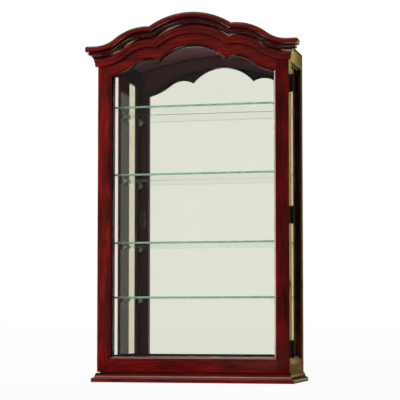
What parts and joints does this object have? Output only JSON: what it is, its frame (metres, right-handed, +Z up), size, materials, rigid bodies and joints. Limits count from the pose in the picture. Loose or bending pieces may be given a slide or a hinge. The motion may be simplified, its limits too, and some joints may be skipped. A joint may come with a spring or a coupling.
{
  "type": "display case",
  "caption": "Glazed wall or table display case with a scalloped crown, hinged glass door, glass sides, mirror back and glass shelves.",
  "frame": {"origin": "under the middle of the whole case, on the surface that it stands on", "axes": "+X to the viewer's right, +Y from the door to the back, +Z up"},
  "size_m": [0.558, 0.2246, 0.9437],
  "materials": {
    "cherry_wood": "deep red cherry stain under gloss lacquer",
    "raw_wood": "unfinished hidden softwood",
    "hardboard": "smooth brown hardboard",
    "pane_glass": "clear float glass",
    "shelf_glass": "clear float glass with polished green edges",
    "mirror": "silvered glass",
    "clear_plastic": "clear moulded plastic",
    "black_metal": "antique black",
    "plated_steel": "zinc plated",
    "dark_plastic": "brown moulded plastic",
    "bumper_rubber": "soft brown rubber"
  },
  "bodies": {
    "case": {"back_panel": "hardboard", "back_panel_screws": "plated_steel", "base_board": "raw_wood", "base_front_moulding": "cherry_wood", "base_left_moulding": "cherry_wood", "base_right_moulding": "cherry_wood", "catch_screws": "plated_steel", "door_bumpers": "bumper_rubber", "floor_front_bearer": "raw_wood", "floor_panel": "cherry_wood", "floor_rear_bearer": "raw_wood", "hanger_screws": "plated_steel", "hanging_rail": "raw_wood", "hinge_case_screws": "black_metal", "hinge_lower_case_leaf": "black_metal", "hinge_middle_case_leaf": "black_metal", "hinge_pins": "black_metal", "hinge_upper_case_leaf": "black_metal", "keyhole_hangers": "plated_steel", "left_bottom_rail": "cherry_wood", "left_front_stile": "cherry_wood", "left_glass_stops": "cherry_wood", "left_rear_stile": "cherry_wood", "left_side_glass": "pane_glass", "left_top_rail": "cherry_wood", "lower_back_rail": "raw_wood", "magnetic_catch": "dark_plastic", "mirror": "mirror", "right_bottom_rail": "cherry_wood", "right_front_stile": "cherry_wood", "right_glass_stops": "cherry_wood", "right_rear_stile": "cherry_wood", "right_side_glass": "pane_glass", "right_top_rail": "cherry_wood", "roof_panel": "cherry_wood", "shelf_1": "shelf_glass", "shelf_2": "shelf_glass", "shelf_3": "shelf_glass", "shelf_4": "shelf_glass", "shelf_supports": "clear_plastic"},
    "door": {"door_bottom_rail": "cherry_wood", "door_glass": "pane_glass", "door_glass_stops": "cherry_wood", "door_left_stile": "cherry_wood", "door_right_stile": "cherry_wood", "door_top_rail": "cherry_wood", "crown_centre": "cherry_wood", "crown_left": "cherry_wood", "crown_left_return": "cherry_wood", "crown_right": "cherry_wood", "crown_right_return": "cherry_wood", "hinge_lower_door_leaf": "black_metal", "hinge_middle_door_leaf": "black_metal", "hinge_upper_door_leaf": "black_metal", "hinge_door_screws": "black_metal", "catch_strike": "plated_steel", "strike_screw": "plated_steel"}
  },
  "joints": [
    {"name": "door_hinge", "type": "hinge", "parent": "case", "child": "door", "pos_m": [0.255, -0.05975, 0.424], "axis": [0, 0, 1], "range_deg": [0, 110]}
  ]
}
